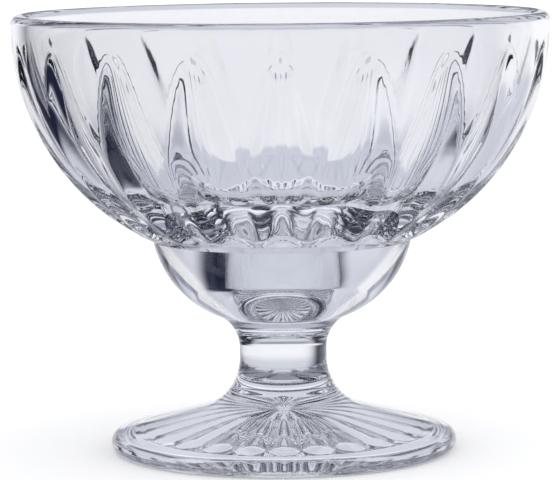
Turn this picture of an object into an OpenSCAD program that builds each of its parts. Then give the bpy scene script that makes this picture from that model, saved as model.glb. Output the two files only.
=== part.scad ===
// Footed parfait glass: a fluted bowl on a rounded lower cup, a short stem and
// a spreading foot with a pressed star of petals in its underside.
// Millimetres, +Z up, the foot stands on z = 0 and the axis of the glass is Z.

/* [Bowl] */
// Height of the bowl from its seam with the lower cup to the top of the lip
bowl_h = 48.7; // [44:0.1:54]
// Widest outside diameter, at the rim
bowl_d = 115; // [100:0.1:130]
// Outside diameter at the shoulder, where the bowl sits on the lower cup
shoulder_d = 55.6; // [48:0.1:62]
// Height of the upright band that ends in the lip
rim_band_h = 2.3; // [1.8:0.1:4]
// Wall thickness at the rim
rim_wall = 3.1; // [2:0.1:4]
// How much smaller the inside curve is than an even wall would make it
wall_gain = 2.6; // [1.5:0.1:3.5]
// Width of the sloping floor between the throat and the inside curve
floor_w = 18; // [10:0.1:20]
// Distance from the shoulder's outside in to the throat
throat_wall = 5.8; // [4.5:0.1:8]
// Height of the throat above the shoulder
throat_rise = 7.3; // [3:0.1:9]

/* [Flutes] */
// Number of flutes round the bowl
flute_n = 20; // [12:1:28]
// Distance from the top of the lip down to the tips of the flutes
flute_tip_drop = 5.2; // [4.2:0.1:16]
// Distance outside the shoulder at which the flutes run out
flute_low_gap = 3.2; // [2:0.1:8]
// Greatest depth of a flute
flute_depth = 1.6; // [0.8:0.1:2.4]
// Radius of a flute's pointed tip, seen from the front
flute_tip_r = 1.3; // [0.8:0.1:2.5]
// Length over which a flute gets deep below its tip
flute_rise = 5; // [1:0.1:8]
// How softly a flute starts at its tip, as a power of the distance from it
flute_start = 1.4; // [1:0.1:2]
// Length over which a flute runs out at its lower end
flute_run = 6; // [3:0.1:12]

/* [Lower cup] */
// Radius of the cup's outside curve seen from the side
cup_curve_r = 22.4; // [19:0.1:26]
// Height of that curve's centre above the shoulder
cup_curve_rise = 4.6; // [2:0.1:7]
// Thickness of glass between the stem's seam and the lowest point of the hollow
cup_floor = 8.2; // [5:0.1:10]
// Radius of the hollow's round bottom
cup_hollow_r = 20; // [16:0.1:26]
// Distance from the axis at which the round bottom meets the straight side
cup_edge_r = 13.4; // [10:0.1:15.5]

/* [Stem] */
// Diameter of the stem at its waist
waist_d = 18.8; // [14:0.1:22]
// Radius of the hollow curve from the waist up to the cup
stem_upper_curve_r = 7.8; // [6.2:0.1:10]
// Radius of the hollow curve from the waist down to the foot
stem_lower_curve_r = 11.4; // [9:0.1:13]
// Length of the straight waist between the two hollow curves
waist_l = 2.2; // [0.5:0.1:6]
// How far the stem has widened at its seam with the lower cup
stem_top_flare = 1; // [0.4:0.1:2]
// How far the stem has widened at its seam with the foot
stem_foot_flare = 2; // [0.8:0.1:4]

/* [Foot] */
// Outside diameter of the foot
foot_d = 74.6; // [66:0.1:84]
// Radius of the foot's rounded edge
foot_edge_r = 2.1; // [1.5:0.1:2.8]
// Slope of the foot's upper side, in degrees
foot_slope = 15; // [13:0.5:18]
// Width of the flat ring that rests on the table
rest_w = 1.2; // [0.6:0.1:2.5]
// Height of the underside where it starts, inside the resting ring
recess_edge_h = 1.5; // [0.8:0.1:2]
// Width of the bevel between the resting ring and the underside
recess_bevel_w = 2.2; // [1:0.1:3]
// Height of the underside at the axis
recess_h = 4.2; // [3:0.1:5]
// Number of petals in the underside
petal_n = 24; // [12:1:32]
// Depth of a petal at the centre of its round end
petal_depth = 1.2; // [0.5:0.1:1.4]
// Width left between the petals' round ends and the bevel
petal_margin = 1.4; // [0.6:0.1:6]
// Width left between two petals at the centres of their round ends
petal_land = 0.3; // [0.2:0.1:1]
// Diameter of the plain button at the centre of the star
button_d = 8; // [5:0.1:12]

/* [Finish] */
// Colour of the clear glass
glass_colour = [0.86, 0.89, 0.94, 0.45];

/* [Hidden] */
$fn = 160;

// One overrun for all cuts
over = rim_wall;

// Foot: its sloping upper side touches the round edge and the hollow curve
// that comes down from the waist, and the seam lies on that curve
foot_r = foot_d / 2;
waist_r = waist_d / 2;
edge_in = foot_r - foot_edge_r;
slope_normal = [sin(foot_slope), cos(foot_slope)];
slope_reach = edge_in * slope_normal[0] + foot_edge_r * slope_normal[1] + foot_edge_r;
lower_in = waist_r + stem_lower_curve_r;
lower_h = (slope_reach + stem_lower_curve_r - lower_in * slope_normal[0]) / slope_normal[1];
slope_top_r = lower_in - stem_lower_curve_r * slope_normal[0];
slope_top_h = lower_h - stem_lower_curve_r * slope_normal[1];
slope_low_r = edge_in + foot_edge_r * slope_normal[0];
slope_low_h = foot_edge_r + foot_edge_r * slope_normal[1];
foot_top_h = lower_h
    - sqrt(pow(stem_lower_curve_r, 2) - pow(stem_lower_curve_r - stem_foot_flare, 2));
recess_r = edge_in - rest_w;
under_r = recess_r - recess_bevel_w;
function under_h(r) = recess_h + (recess_edge_h - recess_h) * r / under_r;

// Stem: its upper seam lies on the hollow curve that touches the cup
upper_in = waist_r + stem_upper_curve_r;
upper_h = lower_h + waist_l;
stem_top_h = upper_h
    + sqrt(pow(stem_upper_curve_r, 2) - pow(stem_upper_curve_r - stem_top_flare, 2));

// Lower cup: its round curve passes the shoulder and touches the stem's curve
shoulder_r = shoulder_d / 2;
cup_in = shoulder_r - sqrt(pow(cup_curve_r, 2) - pow(cup_curve_rise, 2));
cup_curve_h = upper_h + sqrt(pow(cup_curve_r + stem_upper_curve_r, 2) - pow(upper_in - cup_in, 2));
shoulder_h = cup_curve_h - cup_curve_rise;
touch_share = cup_curve_r / (cup_curve_r + stem_upper_curve_r);
touch_r = cup_in + (upper_in - cup_in) * touch_share;
touch_h = cup_curve_h + (upper_h - cup_curve_h) * touch_share;
cup_floor_h = stem_top_h + cup_floor;
cup_edge_h = cup_floor_h + cup_hollow_r - sqrt(pow(cup_hollow_r, 2) - pow(cup_edge_r, 2));
throat_r = shoulder_r - throat_wall;
throat_h = shoulder_h + throat_rise;
function cup_side_r(h) = cup_edge_r
    + (throat_r - cup_edge_r) * (h - cup_edge_h) / (throat_h - cup_edge_h);
seam_hollow_r = cup_side_r(shoulder_h);
clear_share = 0.02;
cup_clear_h = cup_edge_h + (shoulder_h - cup_edge_h) * clear_share;

// Bowl: both its curves are upright at the foot of the rim band. The outside
// one passes the shoulder, and the inside one ends at the sloping floor
bowl_r = bowl_d / 2;
glass_h = shoulder_h + bowl_h;
wide_h = glass_h - rim_band_h;
bowl_in = bowl_r - shoulder_r;
bowl_curve_r = (pow(bowl_in, 2) + pow(wide_h - shoulder_h, 2)) / (2 * bowl_in);
curve_in = bowl_r - bowl_curve_r;
bowl_hollow_curve_r = bowl_curve_r - rim_wall - wall_gain;
hollow_in = bowl_r - rim_wall - bowl_hollow_curve_r;
lip_r = rim_wall / 2;
floor_end_r = throat_r + floor_w;
floor_angle = acos((floor_end_r - hollow_in) / bowl_hollow_curve_r);

// Where the flutes start and end, as angles down from the centre's height
tip_angle = asin(max(0, flute_tip_drop - rim_band_h) / bowl_curve_r);
low_angle = acos((shoulder_r + flute_low_gap - curve_in) / bowl_curve_r);

// A flute gets deep soon below its tip and runs out above the shoulder. Seen
// from the front it widens like a parabola till it meets its neighbours
function arc_l(turn) = bowl_curve_r * turn * PI / 180;
function flute_l(a) = max(0, arc_l(a - tip_angle));
function run_share(a) = max(0, min(1, arc_l(low_angle - a) / flute_run));
function flute_d(a) = flute_depth * (1 - exp(-pow(flute_l(a) / flute_rise, flute_start)))
    * sqrt(run_share(a) * (2 - run_share(a)));
function curve_out_r(a) = curve_in + bowl_curve_r * cos(a);
function flute_half_w(a) = sqrt(2 * flute_tip_r * flute_l(a));
function half_pitch(a) = curve_out_r(a) * PI / flute_n;

// Six points across each flute: its middle, its two edges, a point halfway to
// each edge, and the ridge or land between it and its neighbour
flute_points = 6;
flute_rows = 12;
curve_rows = 6;
lip_rows = 4;
even_share = 2 / 3;
least_share = 0.2;
most_share = 0.94;
section_share = 1.5;
function edge_share(a) = max(least_share, min(most_share, flute_half_w(a) / half_pitch(a)));
function across_shares(edge) = [-1, -edge, -edge / 2, 0, edge / 2, edge];

// One ring of the bowl's surface: its profile point, how far each flute point
// is pressed in along the normal, and how the points are spread
function ring(point, normal, edge, depth, half_w_share) = [
    for (i = [0 : flute_n - 1], across = across_shares(edge))
        let (
            angle = (i + across / 2) * 360 / flute_n,
            press = depth * pow(max(0, 1 - pow(across / half_w_share, 2)), section_share),
            p = point - press * normal
        )
        [p[0] * cos(angle), p[0] * sin(angle), p[1]]
];
function plain_ring(point) = ring(point, [0, 0], even_share, 0, 1);
function out_ring(a) = ring([curve_out_r(a), wide_h - bowl_curve_r * sin(a)], [cos(a), -sin(a)],
    edge_share(a), flute_d(a), max(least_share, min(1, flute_half_w(a) / half_pitch(a))));

bowl_rings = [
    plain_ring([shoulder_r, shoulder_h]),
    for (i = [flute_rows : -1 : 0])
        out_ring(tip_angle + (low_angle - tip_angle) * (1 - cos(180 * i / flute_rows)) / 2),
    for (i = [0 : lip_rows])
        plain_ring([bowl_r - lip_r, glass_h - lip_r]
            + lip_r * [cos(180 * i / lip_rows), sin(180 * i / lip_rows)]),
    for (i = [0 : curve_rows])
        let (a = floor_angle * i / curve_rows)
        plain_ring([hollow_in, wide_h] + bowl_hollow_curve_r * [cos(a), -sin(a)]),
    plain_ring([throat_r, throat_h]),
    plain_ring([seam_hollow_r, shoulder_h])
];

// Petals: cones with round outer ends, whose tips lie just below the underside
// so that they run out beside the button
tip_drop_share = 0.1;
petal_reach_r = (under_r - petal_margin + petal_land / 2) / (1 + tan(180 / petal_n));
petal_half_w = petal_reach_r * tan(180 / petal_n) - petal_land / 2;
petal_section_r = (pow(petal_half_w, 2) + pow(petal_depth, 2)) / (2 * petal_depth);
petal_drop = petal_section_r - petal_depth;
petal_tip_r = button_d / 4;
petal_tip_h = under_h(petal_tip_r) - petal_depth * tip_drop_share;
petal_axis = [petal_reach_r - petal_tip_r, under_h(petal_reach_r) - petal_drop - petal_tip_h];
petal_axis_l = norm(petal_axis);
button_r = button_d / 2;
button_drop = petal_depth / 2;

// Spins an outline about the axis of the glass
module turned() {
    rotate_extrude() children();
}

// The part of the half plane between two heights, out to a radius
module band(low, high, r) {
    translate([0, low]) square([r, high - low]);
}

// The hollow: round below its edge, and inside its straight side above that
module cup_hollow_outline() {
    intersection() {
        union() {
            translate([0, cup_floor_h + cup_hollow_r]) circle(cup_hollow_r);
            band(cup_clear_h, throat_h + over, throat_r + over);
        }
        polygon([
            [0, stem_top_h],
            [cup_side_r(cup_floor_h), cup_floor_h],
            [throat_r, throat_h],
            [0, throat_h]
        ]);
    }
}

// A closed skin through rings of points that run once round its section
module skin(rings) {
    n = len(rings[0]);
    m = len(rings);
    polyhedron(
        points = [for (r = rings) each r],
        faces = [
            for (i = [0 : m - 1], j = [0 : n - 1])
                let (
                    here = i * n,
                    above = (i + 1) % m * n,
                    next = (j + 1) % n
                )
                each [[here + j, above + j, above + next], [here + j, above + next, here + next]]
        ]
    );
}

module bowl() {
    color(glass_colour) skin(bowl_rings);
}

module lower_cup() {
    color(glass_colour)
        turned() difference() {
            union() {
                intersection() {
                    translate([cup_in, cup_curve_h]) circle(cup_curve_r);
                    band(touch_h, shoulder_h, shoulder_r + over);
                }
                difference() {
                    band(stem_top_h, touch_h, touch_r);
                    translate([upper_in, upper_h]) circle(stem_upper_curve_r);
                }
                band(stem_top_h, (touch_h + cup_floor_h) / 2, waist_r);
            }
            cup_hollow_outline();
        }
}

module stem() {
    color(glass_colour)
        turned() difference() {
            band(foot_top_h, stem_top_h, upper_in);
            translate([upper_in, upper_h]) circle(stem_upper_curve_r);
            translate([waist_r, lower_h]) square([upper_in, upper_h - lower_h]);
            translate([lower_in, lower_h]) circle(stem_lower_curve_r);
        }
}

// One petal's cutter, lying along the underside with its tip near the axis
module petal() {
    join = petal_axis_l / (1 + pow(petal_section_r / petal_axis_l, 2));
    translate([petal_tip_r, 0, petal_tip_h])
        rotate([0, 90 - atan2(petal_axis[1], petal_axis[0]), 0]) {
            cylinder(h = join, r1 = 0, r2 = join * petal_section_r / petal_axis_l);
            translate([0, 0, petal_axis_l]) sphere(petal_section_r);
        }
}

module foot() {
    color(glass_colour)
        union() {
            difference() {
                turned() difference() {
                    union() {
                        difference() {
                            band(slope_top_h, foot_top_h, lower_in);
                            translate([lower_in, lower_h]) circle(stem_lower_curve_r);
                        }
                        polygon([
                            [0, 0],
                            [edge_in, 0],
                            [edge_in, foot_edge_r],
                            [slope_low_r, slope_low_h],
                            [slope_top_r, slope_top_h],
                            [0, slope_top_h]
                        ]);
                        translate([edge_in, foot_edge_r]) circle(foot_edge_r);
                    }
                    polygon([
                        [0, -over],
                        [recess_r, -over],
                        [recess_r, 0],
                        [under_r, recess_edge_h],
                        [0, recess_h]
                    ]);
                }
                for (i = [0 : petal_n - 1]) rotate([0, 0, i * 360 / petal_n]) petal();
            }
            turned() band(recess_h - button_drop, recess_h + petal_depth, button_r);
        }
}

bowl();
lower_cup();
stem();
foot();
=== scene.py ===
import math

import bmesh
import bpy
from bpy.props import FloatProperty, FloatVectorProperty, IntProperty, PointerProperty
from mathutils import Matrix, Vector


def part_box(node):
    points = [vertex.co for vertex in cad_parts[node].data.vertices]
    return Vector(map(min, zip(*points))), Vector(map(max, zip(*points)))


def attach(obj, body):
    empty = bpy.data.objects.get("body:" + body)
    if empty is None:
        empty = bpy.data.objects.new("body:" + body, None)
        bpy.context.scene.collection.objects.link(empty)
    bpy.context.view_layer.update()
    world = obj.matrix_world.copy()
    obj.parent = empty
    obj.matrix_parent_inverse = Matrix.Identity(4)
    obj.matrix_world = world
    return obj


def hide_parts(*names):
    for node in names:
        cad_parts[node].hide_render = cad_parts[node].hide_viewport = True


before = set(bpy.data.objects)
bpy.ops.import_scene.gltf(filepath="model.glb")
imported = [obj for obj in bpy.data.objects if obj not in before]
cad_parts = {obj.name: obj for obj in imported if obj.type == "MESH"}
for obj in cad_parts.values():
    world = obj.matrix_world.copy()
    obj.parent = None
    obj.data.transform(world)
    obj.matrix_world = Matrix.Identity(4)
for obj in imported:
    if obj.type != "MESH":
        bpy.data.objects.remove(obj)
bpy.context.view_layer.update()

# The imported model's box and its pieces' places, in metres
BOWL_LOW, BOWL_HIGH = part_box("bowl")
CUP_LOW, CUP_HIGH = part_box("lower_cup")
FOOT_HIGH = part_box("foot")[1]

bl_info = {
    "name": "Parfait Glass",
    "version": (1, 0, 0),
    "blender": (4, 5, 0),
    "location": "View3D > Sidebar > Parfait Glass",
    "description": "Builds a footed parfait glass of clear pressed glass, and its studio",
    "category": "Object",
}

# Tolerances in metres: doubled points of an outline, points that two sectors share,
# points on the bowl's outside curve, and points at one height
SAME_POINT = 1e-7
SHARED_POINT = 2e-6
ON_CURVE = 1e-6
SAME_HEIGHT = 1e-7

# Detail of the noise behind the glass's waves and haze, and the noise at which
# haze starts and is full
WAVE_DETAIL = 1.0
HAZE_DETAIL = 4.0
HAZE_START = 0.45
HAZE_FULL = 0.8

# Floor: its roughness, how many sides its circle has, and how far it lies below
# the resting ring, in metres
FLOOR_ROUGHNESS = 0.9
FLOOR_SIDES = 96
FLOOR_DROP = 0.0001

# Camera: width of its film in millimetres, and the nearest that it sees, in metres
FILM_W = 36
NEAREST = 0.01

# How often light may pass the glass's faces, and how often it may glance off them
PASSES = 32
GLANCES = 12

# Places of a Mix node's two colours and of its result among its sockets
MIX_FIRST = 6
MIX_SECOND = 7
MIX_RESULT = 2

# Light of the surroundings where no panel shines, and the light that falls on the floor
DIM_LIGHT = (0.015, 0.018, 0.04)
FLOOR_LIGHT = (1.12, 1.12, 1.12)
# Soft panels round the glass, of which a later one covers those before it: the
# azimuth that each faces from, clockwise from behind the glass, its edge and core
# to either side, its heights from lower edge and core to upper core and edge, all
# in degrees, and its light
PANELS = (
    (0, 180, 179, (-90, -89, -60, -50), (0.30, 0.31, 0.36)),
    (0, 180, 179, (60, 75, 89, 90), (0.50, 0.52, 0.60)),
    (-90, 50, 25, (15, 35, 50, 65), (0.75, 0.77, 0.84)),
    (0, 40, 20, (-1, 0, 70, 80), (0.72, 0.74, 0.80)),
    (0, 35, 18, (4, 7, 13, 17), (0.35, 0.37, 0.45)),
    (-5, 60, 25, (-1, 0, 4, 8), (1.0, 1.0, 1.0)),
    (180, 70, 50, (-60, -50, -2, 0), (0.34, 0.36, 0.42)),
    (90, 90, 60, (-35, -25, -2, 0), (0.30, 0.31, 0.38)),
    (15, 60, 35, (-60, -45, 0, 1), (0.70, 0.72, 0.79)),
    (20, 60, 35, (-15, -8, 0, 1), (1.0, 1.0, 1.02)),
)


class ParfaitGlassSizes(bpy.types.PropertyGroup):
    """Sizes of the whole glass and of the lower cup, stem and foot"""

    height: FloatProperty(
        name="Height", description="Height from the table to the top of the lip",
        default=BOWL_HIGH[2], unit="LENGTH")
    shoulder_h: FloatProperty(
        name="Shoulder height", description="Height of the seam where the bowl sits on the cup",
        default=BOWL_LOW[2], unit="LENGTH")
    stem_top_h: FloatProperty(
        name="Stem top", description="Height of the seam between the lower cup and the stem",
        default=CUP_LOW[2], unit="LENGTH")
    foot_top_h: FloatProperty(
        name="Foot top", description="Height of the seam between the stem and the foot",
        default=FOOT_HIGH[2], unit="LENGTH")
    cup_curve_r: FloatProperty(
        name="Cup curve",
        description="Radius of the lower cup's outside curve, seen from the side",
        default=0.0224, unit="LENGTH")
    cup_curve_h: FloatProperty(
        name="Cup curve height", description="Height of the centre of that curve",
        default=CUP_HIGH[2] + 0.0046, unit="LENGTH")
    cup_floor_h: FloatProperty(
        name="Cup floor", description="Height of the lowest point of the hollow",
        default=CUP_LOW[2] + 0.0082, unit="LENGTH")
    cup_hollow_r: FloatProperty(
        name="Cup hollow", description="Radius of the hollow's round bottom",
        default=0.020, unit="LENGTH")
    cup_edge_r: FloatProperty(
        name="Cup edge", description="Radius at which the round bottom meets the straight side",
        default=0.0134, unit="LENGTH")
    throat_r: FloatProperty(
        name="Throat", description="Radius at which the cup's side meets the bowl's floor",
        default=0.022, unit="LENGTH")
    throat_h: FloatProperty(
        name="Throat height", description="Height of the throat",
        default=BOWL_LOW[2] + 0.0073, unit="LENGTH")
    waist_r: FloatProperty(
        name="Waist", description="Radius of the stem at its waist",
        default=0.0094, unit="LENGTH")
    upper_curve_r: FloatProperty(
        name="Upper stem curve", description="Radius of the hollow curve up to the cup",
        default=0.0078, unit="LENGTH")
    lower_curve_r: FloatProperty(
        name="Lower stem curve", description="Radius of the hollow curve down to the foot",
        default=0.0114, unit="LENGTH")
    foot_r: FloatProperty(
        name="Foot", description="Radius of the foot",
        default=FOOT_HIGH[0], unit="LENGTH")
    foot_edge_r: FloatProperty(
        name="Foot edge", description="Radius of the foot's rounded edge",
        default=0.0021, unit="LENGTH")
    foot_slope: FloatProperty(
        name="Foot slope", description="Slope of the foot's upper side",
        default=math.radians(15), subtype="ANGLE")
    rest_w: FloatProperty(
        name="Resting ring", description="Width of the flat ring that rests on the table",
        default=0.0012, unit="LENGTH")
    recess_edge_h: FloatProperty(
        name="Underside edge", description="Height of the underside inside the resting ring",
        default=0.0015, unit="LENGTH")
    recess_bevel_w: FloatProperty(
        name="Underside bevel", description="Width of the bevel inside the resting ring",
        default=0.0022, unit="LENGTH")
    recess_h: FloatProperty(
        name="Underside height", description="Height of the underside at the axis",
        default=0.0042, unit="LENGTH")
    petals: IntProperty(
        name="Petals", description="Number of petals in the underside of the foot", default=24)
    petal_depth: FloatProperty(
        name="Petal depth", description="Depth of a petal", default=0.0012, unit="LENGTH")
    petal_end_r: FloatProperty(
        name="Petal end", description="Distance from the axis to a petal's outer end",
        default=0.0306, unit="LENGTH")
    petal_fade_r: FloatProperty(
        name="Petal fade", description="Distance from the axis within which a petal gets shallow",
        default=0.012, unit="LENGTH")
    button_r: FloatProperty(
        name="Button", description="Radius of the plain button at the centre of the star",
        default=0.004, unit="LENGTH")


class ParfaitBowlSizes(bpy.types.PropertyGroup):
    """Sizes of the bowl and its flutes"""

    rim_r: FloatProperty(
        name="Rim", description="Widest radius, at the rim", default=BOWL_HIGH[0], unit="LENGTH")
    shoulder_r: FloatProperty(
        name="Shoulder", description="Radius of the seam where the bowl sits on the cup",
        default=CUP_HIGH[0], unit="LENGTH")
    rim_band_h: FloatProperty(
        name="Rim band", description="Height of the upright band that ends in the lip",
        default=0.0023, unit="LENGTH")
    rim_wall: FloatProperty(
        name="Wall", description="Wall thickness at the rim", default=0.0031, unit="LENGTH")
    wall_gain: FloatProperty(
        name="Wall gain", description="How much smaller the inside curve is than an even wall's",
        default=0.0026, unit="LENGTH")
    floor_r: FloatProperty(
        name="Floor", description="Radius at which the sloping floor runs into the inside curve",
        default=0.040, unit="LENGTH")
    floor_round: FloatProperty(
        name="Floor rounding", description="Radius of the rounding between wall and floor",
        default=0.012, unit="LENGTH")
    throat_round: FloatProperty(
        name="Throat rounding", description="Radius of the rounded edge at the throat",
        default=0.002, unit="LENGTH")
    flutes: IntProperty(name="Flutes", description="Number of flutes round the bowl", default=20)
    flute_tip_drop: FloatProperty(
        name="Flute tips", description="Distance from the top of the lip to the flutes' tips",
        default=0.0052, unit="LENGTH")
    flute_low_r: FloatProperty(
        name="Flute ends", description="Distance from the axis at which the flutes run out",
        default=0.031, unit="LENGTH")
    flute_depth: FloatProperty(
        name="Flute depth", description="Greatest depth of a flute", default=0.0016, unit="LENGTH")
    flute_tip_r: FloatProperty(
        name="Flute tip", description="Radius of a flute's pointed tip, seen from the front",
        default=0.0013, unit="LENGTH")
    flute_rise: FloatProperty(
        name="Flute rise", description="Length over which a flute gets deep below its tip",
        default=0.005, unit="LENGTH")
    flute_start: FloatProperty(
        name="Flute start", description="Higher values let a flute start more softly at its tip",
        default=1.4)
    flute_power: FloatProperty(
        name="Flute section", description="Higher values give a flute softer edges",
        default=1.5)
    flute_run: FloatProperty(
        name="Flute end run", description="Length over which a flute runs out at its lower end",
        default=0.006, unit="LENGTH")
    ridge_round: FloatProperty(
        name="Ridge rounding", description="Rounding of the ridge between two flutes",
        default=0.0003, unit="LENGTH")


class ParfaitFinish(bpy.types.PropertyGroup):
    """Look of the glass, the studio and the mesh's fineness"""

    tint: FloatVectorProperty(
        name="Tint", description="Colour of the clear glass", subtype="COLOR", size=3,
        default=(0.96, 0.965, 0.985), min=0.0, max=1.0)
    bend: FloatProperty(
        name="Refractive index", description="Refractive index of the glass", default=1.52)
    wave_scale: FloatProperty(
        name="Wave scale", description="Fineness of the moulded surface's faint waves",
        default=110)
    wave_depth: FloatProperty(
        name="Wave depth", description="Depth of the waves in metres", default=0.00003,
        precision=6)
    haze_scale: FloatProperty(
        name="Haze scale", description="Fineness of the patches of faint haze", default=60)
    haze: FloatProperty(
        name="Haze", description="Greatest roughness in a patch of haze", default=0.02)
    row_step: FloatProperty(
        name="Row step", description="Greatest distance between two rings of the mesh",
        default=0.00045, unit="LENGTH")
    columns: IntProperty(
        name="Columns", description="Faces across one flute or petal", default=20)
    floor: FloatVectorProperty(
        name="Floor", description="Colour of the floor", subtype="COLOR", size=3,
        default=(0.9, 0.9, 0.9), min=0.0, max=1.0)
    floor_white: FloatProperty(
        name="Floor white", description="White that the camera sees added to the floor",
        default=0.25)
    floor_r: FloatProperty(
        name="Floor radius", description="Radius of the floor", default=8, unit="LENGTH")
    focal: FloatProperty(
        name="Lens", description="Focal length of the camera in millimetres", default=202.8)
    distance: FloatProperty(
        name="Camera distance", description="Distance from the axis to the camera",
        default=0.67485, unit="LENGTH")
    eye_h: FloatProperty(
        name="Camera height", description="Height of the camera above the table",
        default=0.12096, unit="LENGTH")
    eye_x: FloatProperty(
        name="Camera offset", description="Sideways offset of the camera",
        default=-0.000464, unit="LENGTH")
    pitch: FloatProperty(
        name="Camera pitch", description="Angle by which the camera looks down",
        default=0.1117, subtype="ANGLE")
    roll: FloatProperty(
        name="Camera roll", description="Angle by which the camera leans", default=0.0094,
        subtype="ANGLE")


def arc(centre, radius, start, end, step):
    """Points of an arc in the half plane of radius and height, ends included"""
    steps = max(1, math.ceil(abs(end - start) * radius / step))
    return [
        Vector((centre[0] + radius * math.cos(start + (end - start) * i / steps),
                centre[1] + radius * math.sin(start + (end - start) * i / steps)))
        for i in range(steps + 1)
    ]


def line(start, end, step):
    """Points of a straight stretch, ends included"""
    start, end = Vector(start), Vector(end)
    steps = max(1, math.ceil((end - start).length / step))
    return [start.lerp(end, i / steps) for i in range(steps + 1)]


def fillet(before, corner, after, radius, step):
    """Points of an arc that rounds a corner between two straight stretches"""
    before, corner, after = Vector(before), Vector(corner), Vector(after)
    back, on = (before - corner).normalized(), (after - corner).normalized()
    half = back.angle(on) / 2
    centre = corner + (back + on).normalized() * radius / math.sin(half)
    first = corner + back * radius / math.tan(half) - centre
    last = corner + on * radius / math.tan(half) - centre
    start = math.atan2(first.y, first.x)
    turn = math.atan2(first.cross(last), first.dot(last))
    return arc(centre, radius, start, start + turn, step)


def joined(*stretches):
    """One outline from stretches that follow each other, without doubled points"""
    outline = []
    for point in (p for stretch in stretches for p in stretch):
        if not outline or (point - outline[-1]).length > SAME_POINT:
            outline.append(point)
    return outline


def spun(outline, sectors, columns, closed, press=None):
    """A bmesh of equal sectors about the axis, each spun from the outline and then pressed"""
    bm = bmesh.new()
    verts = [bm.verts.new((p.x, 0, p.y)) for p in outline]
    edges = [bm.edges.new(pair) for pair in zip(verts, verts[1:])]
    if closed:
        edges.append(bm.edges.new((verts[-1], verts[0])))
    bmesh.ops.spin(
        bm, geom=verts + edges, cent=(0, 0, 0), axis=(0, 0, 1), dvec=(0, 0, 0),
        angle=math.tau / sectors, steps=columns, use_merge=False, use_normal_flip=False,
        use_duplicate=False)
    if press:
        press(bm)
    sector = bm.verts[:] + bm.edges[:] + bm.faces[:]
    for i in range(1, sectors):
        copy = bmesh.ops.duplicate(bm, geom=sector)["geom"]
        bmesh.ops.rotate(
            bm, cent=(0, 0, 0), matrix=Matrix.Rotation(math.tau * i / sectors, 3, "Z"),
            verts=[v for v in copy if isinstance(v, bmesh.types.BMVert)])
    bmesh.ops.remove_doubles(bm, verts=bm.verts, dist=SHARED_POINT)
    bmesh.ops.recalc_face_normals(bm, faces=bm.faces)
    return bm


def finish_piece(bm, name, node, seams):
    """Makes the object, with seam faces that light passes as if they weren't there"""
    for face in bm.faces:
        face.smooth = True
        face.material_index = int(any(
            all(abs(v.co.z - h) < SAME_HEIGHT for v in face.verts) for h in seams))
    for edge in bm.edges:
        if len({face.material_index for face in edge.link_faces}) > 1:
            edge.smooth = False
    mesh = bpy.data.meshes.new(name)
    bm.to_mesh(mesh)
    bm.free()
    piece = bpy.data.objects.new(name, mesh)
    bpy.context.scene.collection.objects.link(piece)
    mesh.materials.append(clear_glass())
    mesh.materials.append(seam_glass())
    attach(piece, "root")
    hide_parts(node)
    return piece


def added(tree, kind, inputs=(), **settings):
    """A new node with its settings and inputs, each a value or another node's socket"""
    node = tree.nodes.new("ShaderNode" + kind)
    for name, value in settings.items():
        setattr(node, name, value)
    for name, value in dict(inputs).items():
        if isinstance(value, bpy.types.NodeSocket):
            tree.links.new(value, node.inputs[name])
        else:
            node.inputs[name].default_value = value
    return node


def clear_glass():
    """Clear pressed glass, with the faint waviness and haze of a moulded surface"""
    if "clear glass" in bpy.data.materials:
        return bpy.data.materials["clear glass"]
    finish = bpy.context.scene.parfait_finish
    material = bpy.data.materials.new("clear glass")
    material.use_nodes = True
    tree = material.node_tree
    place = added(tree, "TexCoord").outputs["Object"]
    waves = added(tree, "TexNoise", {"Vector": place, "Scale": finish.wave_scale,
                                     "Detail": WAVE_DETAIL})
    haze = added(tree, "TexNoise", {"Vector": place, "Scale": finish.haze_scale,
                                    "Detail": HAZE_DETAIL})
    bump = added(tree, "Bump", {"Height": waves.outputs["Fac"], "Strength": 1.0,
                                "Distance": finish.wave_depth})
    rough = added(tree, "MapRange", {"Value": haze.outputs["Fac"], "From Min": HAZE_START,
                                     "From Max": HAZE_FULL, "To Min": 0, "To Max": finish.haze})
    shader = tree.nodes["Principled BSDF"]
    shader.inputs["Base Color"].default_value = (*finish.tint, 1)
    shader.inputs["IOR"].default_value = finish.bend
    shader.inputs["Transmission Weight"].default_value = 1
    tree.links.new(rough.outputs["Result"], shader.inputs["Roughness"])
    tree.links.new(bump.outputs["Normal"], shader.inputs["Normal"])
    return material


def seam_glass():
    """Unseen faces inside the glass, where its fused pieces meet"""
    if "fused seam" in bpy.data.materials:
        return bpy.data.materials["fused seam"]
    material = bpy.data.materials.new("fused seam")
    material.use_nodes = True
    shader = material.node_tree.nodes["Principled BSDF"]
    shader.inputs["Alpha"].default_value = 0
    return material


def pale_floor():
    """Pale floor that only the camera sees; glass shows the studio's own light below it"""
    finish = bpy.context.scene.parfait_finish
    material = bpy.data.materials.new("pale floor")
    material.use_nodes = True
    tree = material.node_tree
    shader = tree.nodes["Principled BSDF"]
    shader.inputs["Base Color"].default_value = (*finish.floor, 1)
    shader.inputs["Roughness"].default_value = FLOOR_ROUGHNESS
    shader.inputs["Specular IOR Level"].default_value = 0
    shader.inputs["Emission Color"].default_value = (1, 1, 1, 1)
    shader.inputs["Emission Strength"].default_value = finish.floor_white
    path = added(tree, "LightPath")
    clear = added(tree, "BsdfTransparent")
    seen = added(tree, "MixShader", {0: path.outputs["Is Camera Ray"], 1: clear.outputs["BSDF"],
                                     2: shader.outputs["BSDF"]})
    tree.links.new(seen.outputs["Shader"], tree.nodes["Material Output"].inputs["Surface"])
    return material


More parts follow.
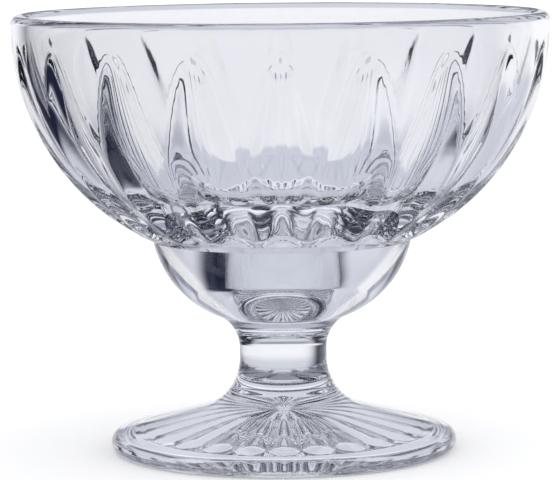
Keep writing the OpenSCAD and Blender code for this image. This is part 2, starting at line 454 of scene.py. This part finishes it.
def soft_panel():
    """Node group: light of a soft panel, by where a ray points"""
    tree = bpy.data.node_groups.new("soft panel", "ShaderNodeTree")
    for name, kind in (("Ray", "Vector"), ("Facing", "Vector"), ("Side edge", "Float"),
                       ("Side core", "Float"), ("Low edge", "Float"), ("Low core", "Float"),
                       ("High core", "Float"), ("High edge", "Float"), ("Light", "Color"),
                       ("Other light", "Color")):
        tree.interface.new_socket(name, in_out="INPUT", socket_type="NodeSocket" + kind)
    tree.interface.new_socket("Light", in_out="OUTPUT", socket_type="NodeSocketColor")
    given = tree.nodes.new("NodeGroupInput").outputs
    flat = added(tree, "VectorMath", {0: given["Ray"], 1: (1, 1, 0)}, operation="MULTIPLY")
    level = added(tree, "VectorMath", {0: flat.outputs["Vector"]}, operation="NORMALIZE")
    side = added(tree, "VectorMath", {0: level.outputs["Vector"], 1: given["Facing"]},
                 operation="DOT_PRODUCT").outputs["Value"]
    height = added(tree, "SeparateXYZ", {0: given["Ray"]}).outputs["Z"]
    parts = [
        added(tree, "MapRange", {"Value": value, "From Min": given[edge], "From Max": given[core]},
              interpolation_type="SMOOTHSTEP").outputs["Result"]
        for value, edge, core in (
            (side, "Side edge", "Side core"),
            (height, "Low edge", "Low core"),
            (height, "High edge", "High core"))]
    both = added(tree, "Math", {0: parts[0], 1: parts[1]}, operation="MULTIPLY").outputs[0]
    share = added(tree, "Math", {0: both, 1: parts[2]}, operation="MULTIPLY").outputs[0]
    light = added(tree, "Mix", {"Factor": share, MIX_FIRST: given["Other light"],
                                MIX_SECOND: given["Light"]}, data_type="RGBA").outputs[MIX_RESULT]
    tree.links.new(light, tree.nodes.new("NodeGroupOutput").inputs["Light"])
    return tree


def studio_world():
    """Soft surroundings that the glass shows, behind a white background"""
    world = bpy.data.worlds.new("studio")
    world.use_nodes = True
    tree = world.node_tree
    ray = added(tree, "TexCoord").outputs["Generated"]
    group = soft_panel()
    light = DIM_LIGHT
    for azimuth, side_edge, side_core, heights, panel_light in PANELS:
        turn = math.radians(azimuth)
        panel = added(tree, "Group", {}, node_tree=group)
        tree.links.new(ray, panel.inputs["Ray"])
        panel.inputs["Facing"].default_value = (math.sin(turn), math.cos(turn), 0)
        panel.inputs["Side edge"].default_value = math.cos(math.radians(side_edge))
        panel.inputs["Side core"].default_value = math.cos(math.radians(side_core))
        for name, angle in zip(("Low edge", "Low core", "High core", "High edge"), heights):
            panel.inputs[name].default_value = math.sin(math.radians(angle))
        panel.inputs["Light"].default_value = (*panel_light, 1)
        if isinstance(light, bpy.types.NodeSocket):
            tree.links.new(light, panel.inputs["Other light"])
        else:
            panel.inputs["Other light"].default_value = (*light, 1)
        light = panel.outputs["Light"]
    path = added(tree, "LightPath")
    lit = added(tree, "Mix", {"Factor": path.outputs["Is Diffuse Ray"], MIX_FIRST: light,
                              MIX_SECOND: (*FLOOR_LIGHT, 1)}, data_type="RGBA")
    seen = added(tree, "Mix", {"Factor": path.outputs["Is Camera Ray"],
                               MIX_FIRST: lit.outputs[MIX_RESULT], MIX_SECOND: (1, 1, 1, 1)},
                 data_type="RGBA")
    tree.links.new(seen.outputs[MIX_RESULT], tree.nodes["Background"].inputs["Color"])
    return world


class Shape:
    """Places on the glass that follow from its sizes"""

    def __init__(self):
        scene = bpy.context.scene
        self.glass = g = scene.parfait_sizes
        self.bowl = b = scene.parfait_bowl
        self.step = scene.parfait_finish.row_step
        self.fine_step = self.step / 2
        self.coarse_step = self.step * 2
        self.wide_h = g.height - b.rim_band_h
        bowl_in = b.rim_r - b.shoulder_r
        self.curve_r = (bowl_in ** 2 + (self.wide_h - g.shoulder_h) ** 2) / (2 * bowl_in)
        self.curve_in = b.rim_r - self.curve_r
        self.hollow_r = self.curve_r - b.rim_wall - b.wall_gain
        self.hollow_in = self.curve_in + b.wall_gain
        self.shoulder_a = math.asin((self.wide_h - g.shoulder_h) / self.curve_r)
        self.cup_edge_a = math.asin(g.cup_edge_r / g.cup_hollow_r)
        self.cup_edge_h = g.cup_floor_h + g.cup_hollow_r * (1 - math.cos(self.cup_edge_a))
        self.cup_in = b.shoulder_r - math.sqrt(
            g.cup_curve_r ** 2 - (g.cup_curve_h - g.shoulder_h) ** 2)
        self.upper_in = g.waist_r + g.upper_curve_r
        self.upper_h = g.cup_curve_h - math.sqrt(
            (g.cup_curve_r + g.upper_curve_r) ** 2 - (self.upper_in - self.cup_in) ** 2)
        self.edge_in = g.foot_r - g.foot_edge_r
        slope = Vector((math.sin(g.foot_slope), math.cos(g.foot_slope)))
        reach = slope.dot((self.edge_in, g.foot_edge_r)) + g.foot_edge_r
        self.lower_in = g.waist_r + g.lower_curve_r
        self.lower_h = (reach + g.lower_curve_r - self.lower_in * slope.x) / slope.y

    def seam_hollow(self):
        """Where the straight side of the hollow passes the shoulder's seam"""
        g = self.glass
        share = (g.shoulder_h - self.cup_edge_h) / (g.throat_h - self.cup_edge_h)
        return Vector((g.cup_edge_r + (g.throat_r - g.cup_edge_r) * share, g.shoulder_h))

    def floor_end(self):
        """Where the bowl's sloping floor would run into its inside curve"""
        b = self.bowl
        out = b.floor_r - self.hollow_in
        return Vector((b.floor_r, self.wide_h - math.sqrt(self.hollow_r ** 2 - out ** 2)))


def bowl_outline(shape):
    """Outside curve, lip, inside curve, floor and throat of the bowl"""
    g, b, step = shape.glass, shape.bowl, shape.step
    lip_r = b.rim_wall / 2
    floor_end = shape.floor_end()
    outer_centre = (shape.curve_in, shape.wide_h)
    hollow_centre = Vector((shape.hollow_in, shape.wide_h))
    throat = Vector((g.throat_r, g.throat_h))
    seam = shape.seam_hollow()
    # the rounding touches the floor and, from inside, the inside curve
    along = (floor_end - throat).normalized()
    rise = Vector((-along.y, along.x))
    inside_r = shape.hollow_r - b.floor_round
    off = throat + rise * b.floor_round - hollow_centre
    run = -off.dot(along) + math.sqrt(off.dot(along) ** 2 - off.dot(off) + inside_r ** 2)
    round_centre = hollow_centre + off + along * run
    touch = round_centre - hollow_centre
    touch_a = math.atan2(touch.y, touch.x)
    low_a = math.atan2(-rise.y, -rise.x)
    floor_start = round_centre - rise * b.floor_round
    return joined(
        arc(outer_centre, shape.curve_r, -shape.shoulder_a, 0, step),
        line((b.rim_r, shape.wide_h), (b.rim_r, g.height - lip_r), step),
        arc((b.rim_r - lip_r, g.height - lip_r), lip_r, 0, math.pi, shape.fine_step),
        line((b.rim_r - b.rim_wall, g.height - lip_r), (b.rim_r - b.rim_wall, shape.wide_h), step),
        arc(hollow_centre, shape.hollow_r, 0, touch_a, shape.coarse_step),
        arc(round_centre, b.floor_round, touch_a, low_a, step),
        fillet(floor_start, throat, seam, b.throat_round, shape.fine_step),
        [seam + (throat - seam).normalized() * shape.fine_step / 2, seam],
    )


def press_flutes(bm, shape):
    """Presses the flutes into the outside of the bowl, along its normal"""
    g, b = shape.glass, shape.bowl
    tip_a = math.asin((b.flute_tip_drop - b.rim_band_h) / shape.curve_r)
    low_a = math.acos((b.flute_low_r - shape.curve_in) / shape.curve_r)
    pitch = math.tau / b.flutes
    for v in bm.verts:
        r = math.hypot(v.co.x, v.co.y)
        out = Vector((r - shape.curve_in, v.co.z - shape.wide_h))
        if abs(out.length - shape.curve_r) > ON_CURVE or out.x <= 0:
            continue
        a = math.atan2(-out.y, out.x)
        below = (a - tip_a) * shape.curve_r
        if below <= 0 or a >= low_a:
            continue
        theta = math.atan2(v.co.x, -v.co.y)
        fold = abs((theta + pitch / 2) % pitch - pitch / 2)
        half = pitch / 2 * r
        wide = min(half, math.sqrt(2 * b.flute_tip_r * below))
        ridge = half - fold * r
        across = half - (math.hypot(ridge, b.ridge_round) - b.ridge_round)
        run = min(1, (low_a - a) * shape.curve_r / b.flute_run)
        rise = 1 - math.exp(-(below / b.flute_rise) ** b.flute_start)
        deep = b.flute_depth * rise * math.sqrt(run * (2 - run))
        press = deep * max(0, 1 - (across / wide) ** 2) ** b.flute_power
        normal = Vector((math.cos(a) * v.co.x / r, math.cos(a) * v.co.y / r, -math.sin(a)))
        v.co -= normal * press


def cup_outline(shape):
    """Outside of the lower cup up to the shoulder, then its hollow"""
    g, step = shape.glass, shape.step
    touch_share = g.cup_curve_r / (g.cup_curve_r + g.upper_curve_r)
    cup_centre = Vector((shape.cup_in, g.cup_curve_h))
    upper_centre = Vector((shape.upper_in, shape.upper_h))
    touch = cup_centre.lerp(upper_centre, touch_share)
    down = upper_centre - cup_centre
    touch_a = math.atan2(down.y, down.x)
    end_a = -math.asin((g.cup_curve_h - g.shoulder_h) / g.cup_curve_r)
    seam_a = math.pi - math.asin((g.stem_top_h - shape.upper_h) / g.upper_curve_r)
    seam = shape.seam_hollow()
    edge = Vector((g.cup_edge_r, shape.cup_edge_h))
    return joined(
        [Vector((0, g.stem_top_h))],
        arc(upper_centre, g.upper_curve_r, seam_a, touch_a + math.pi, shape.fine_step),
        arc(cup_centre, g.cup_curve_r, touch_a, end_a, step),
        [seam],
        line(seam, edge, step),
        arc((0, g.cup_floor_h + g.cup_hollow_r), g.cup_hollow_r,
            shape.cup_edge_a - math.pi / 2, -math.pi / 2, step),
    )


def stem_outline(shape):
    """The stem's two hollow curves and its waist"""
    g, step = shape.glass, shape.step
    upper_a = math.pi - math.asin((g.stem_top_h - shape.upper_h) / g.upper_curve_r)
    lower_a = math.pi + math.asin((shape.lower_h - g.foot_top_h) / g.lower_curve_r)
    return joined(
        [Vector((0, g.foot_top_h))],
        arc((shape.lower_in, shape.lower_h), g.lower_curve_r, lower_a, math.pi, shape.fine_step),
        line((g.waist_r, shape.lower_h), (g.waist_r, shape.upper_h), step),
        arc((shape.upper_in, shape.upper_h), g.upper_curve_r, math.pi, upper_a, shape.fine_step),
        [Vector((0, g.stem_top_h))],
    )


def foot_outline(shape):
    """Underside from the axis, resting ring, round edge and upper side"""
    g, step = shape.glass, shape.step
    recess_r = shape.edge_in - g.rest_w
    under_r = recess_r - g.recess_bevel_w
    slope = g.foot_slope
    lower_centre = Vector((shape.lower_in, shape.lower_h))
    lower_a = math.pi + math.asin((shape.lower_h - g.foot_top_h) / g.lower_curve_r)
    slope_top = lower_centre - g.lower_curve_r * Vector((math.sin(slope), math.cos(slope)))
    slope_low = (Vector((shape.edge_in, g.foot_edge_r))
                 + g.foot_edge_r * Vector((math.sin(slope), math.cos(slope))))
    return joined(
        [Vector((0, g.recess_h))],
        line((g.button_r, g.recess_h), (under_r, g.recess_edge_h), step),
        line((under_r, g.recess_edge_h), (recess_r, 0), step),
        [Vector((shape.edge_in, 0))],
        arc((shape.edge_in, g.foot_edge_r), g.foot_edge_r, -math.pi / 2,
            math.pi / 2 - slope, shape.fine_step),
        line(slope_low, slope_top, shape.coarse_step),
        arc(lower_centre, g.lower_curve_r, 3 * math.pi / 2 - slope, lower_a, shape.fine_step),
        [Vector((0, g.foot_top_h))],
    )


def press_petals(bm, shape):
    """Presses the star of petals up into the underside of the foot"""
    g = shape.glass
    under_r = shape.edge_in - g.rest_w - g.recess_bevel_w
    pitch = math.tau / g.petals
    round_w = pitch / 2 * g.petal_end_r
    for v in bm.verts:
        r = math.hypot(v.co.x, v.co.y)
        if not g.button_r <= r < under_r or v.co.z > g.recess_h + SAME_HEIGHT:
            continue
        theta = math.atan2(v.co.x, -v.co.y)
        across = abs((theta + pitch / 2) % pitch - pitch / 2) / (pitch / 2)
        end = min(1, max(0, (round_w - g.petal_end_r + r) / round_w))
        deep = g.petal_depth * min(1, r / g.petal_fade_r)
        v.co.z += deep * max(0, 1 - across ** 2 - end ** 2)


class PARFAIT_OT_bowl(bpy.types.Operator):
    """Builds the fluted bowl with its lip"""

    bl_idname = "parfait.bowl"
    bl_label = "Bowl"

    def execute(self, context):
        shape = Shape()
        bm = spun(bowl_outline(shape), shape.bowl.flutes, context.scene.parfait_finish.columns,
                  closed=True, press=lambda part: press_flutes(part, shape))
        finish_piece(bm, "glass_bowl", "bowl", [shape.glass.shoulder_h])
        return {"FINISHED"}


class PARFAIT_OT_lower_cup(bpy.types.Operator):
    """Builds the rounded cup below the shoulder"""

    bl_idname = "parfait.lower_cup"
    bl_label = "Lower Cup"

    def execute(self, context):
        shape = Shape()
        bm = spun(cup_outline(shape), shape.bowl.flutes, context.scene.parfait_finish.columns,
                  closed=False)
        finish_piece(bm, "glass_lower_cup", "lower_cup",
                     [shape.glass.shoulder_h, shape.glass.stem_top_h])
        return {"FINISHED"}


class PARFAIT_OT_stem(bpy.types.Operator):
    """Builds the waisted stem"""

    bl_idname = "parfait.stem"
    bl_label = "Stem"

    def execute(self, context):
        shape = Shape()
        bm = spun(stem_outline(shape), shape.bowl.flutes, context.scene.parfait_finish.columns,
                  closed=False)
        finish_piece(bm, "glass_stem", "stem", [shape.glass.stem_top_h, shape.glass.foot_top_h])
        return {"FINISHED"}


class PARFAIT_OT_foot(bpy.types.Operator):
    """Builds the foot with the star in its underside"""

    bl_idname = "parfait.foot"
    bl_label = "Foot"

    def execute(self, context):
        shape = Shape()
        bm = spun(foot_outline(shape), shape.glass.petals, context.scene.parfait_finish.columns,
                  closed=False, press=lambda part: press_petals(part, shape))
        finish_piece(bm, "glass_foot", "foot", [shape.glass.foot_top_h])
        return {"FINISHED"}


class PARFAIT_OT_stage(bpy.types.Operator):
    """Builds the pale floor, the soft surroundings and the camera"""

    bl_idname = "parfait.stage"
    bl_label = "Stage"

    def execute(self, context):
        scene = context.scene
        finish = scene.parfait_finish
        lens = bpy.data.cameras.new("camera")
        lens.sensor_width = FILM_W
        lens.lens = finish.focal
        lens.clip_start = NEAREST
        camera = bpy.data.objects.new("camera", lens)
        scene.collection.objects.link(camera)
        camera.matrix_world = (
            Matrix.Translation((finish.eye_x, -finish.distance, finish.eye_h))
            @ Matrix.Rotation(math.pi / 2 - finish.pitch, 4, "X")
            @ Matrix.Rotation(-finish.roll, 4, "Z"))
        scene.camera = camera
        scene.view_settings.view_transform = "Standard"
        scene.world = studio_world()
        scene.cycles.max_bounces = PASSES
        scene.cycles.transmission_bounces = PASSES
        scene.cycles.transparent_max_bounces = PASSES
        scene.cycles.glossy_bounces = GLANCES
        bm = bmesh.new()
        bmesh.ops.create_circle(
            bm, cap_ends=True, segments=FLOOR_SIDES, radius=finish.floor_r)
        mesh = bpy.data.meshes.new("floor")
        bm.to_mesh(mesh)
        bm.free()
        floor = bpy.data.objects.new("floor", mesh)
        floor.location.z = -FLOOR_DROP
        scene.collection.objects.link(floor)
        mesh.materials.append(pale_floor())
        return {"FINISHED"}


class PARFAIT_PT_panel(bpy.types.Panel):
    """Lists the steps that build the glass"""

    bl_label = "Parfait Glass"
    bl_idname = "PARFAIT_PT_panel"
    bl_space_type = "VIEW_3D"
    bl_region_type = "UI"
    bl_category = "Parfait Glass"

    def draw(self, context):
        for operator in OPERATORS:
            self.layout.operator(operator.bl_idname)


OPERATORS = (PARFAIT_OT_bowl, PARFAIT_OT_lower_cup, PARFAIT_OT_stem, PARFAIT_OT_foot,
             PARFAIT_OT_stage)
GROUPS = {"parfait_sizes": ParfaitGlassSizes, "parfait_bowl": ParfaitBowlSizes,
          "parfait_finish": ParfaitFinish}


def register():
    for cls in (*GROUPS.values(), *OPERATORS, PARFAIT_PT_panel):
        bpy.utils.register_class(cls)
    for name, group in GROUPS.items():
        setattr(bpy.types.Scene, name, PointerProperty(type=group))


def unregister():
    for name in GROUPS:
        delattr(bpy.types.Scene, name)
    for cls in reversed((*GROUPS.values(), *OPERATORS, PARFAIT_PT_panel)):
        bpy.utils.unregister_class(cls)


def main():
    register()
    bpy.ops.parfait.bowl()
    bpy.ops.parfait.lower_cup()
    bpy.ops.parfait.stem()
    bpy.ops.parfait.foot()
    bpy.ops.parfait.stage()


if __name__ == "__main__":
    main()
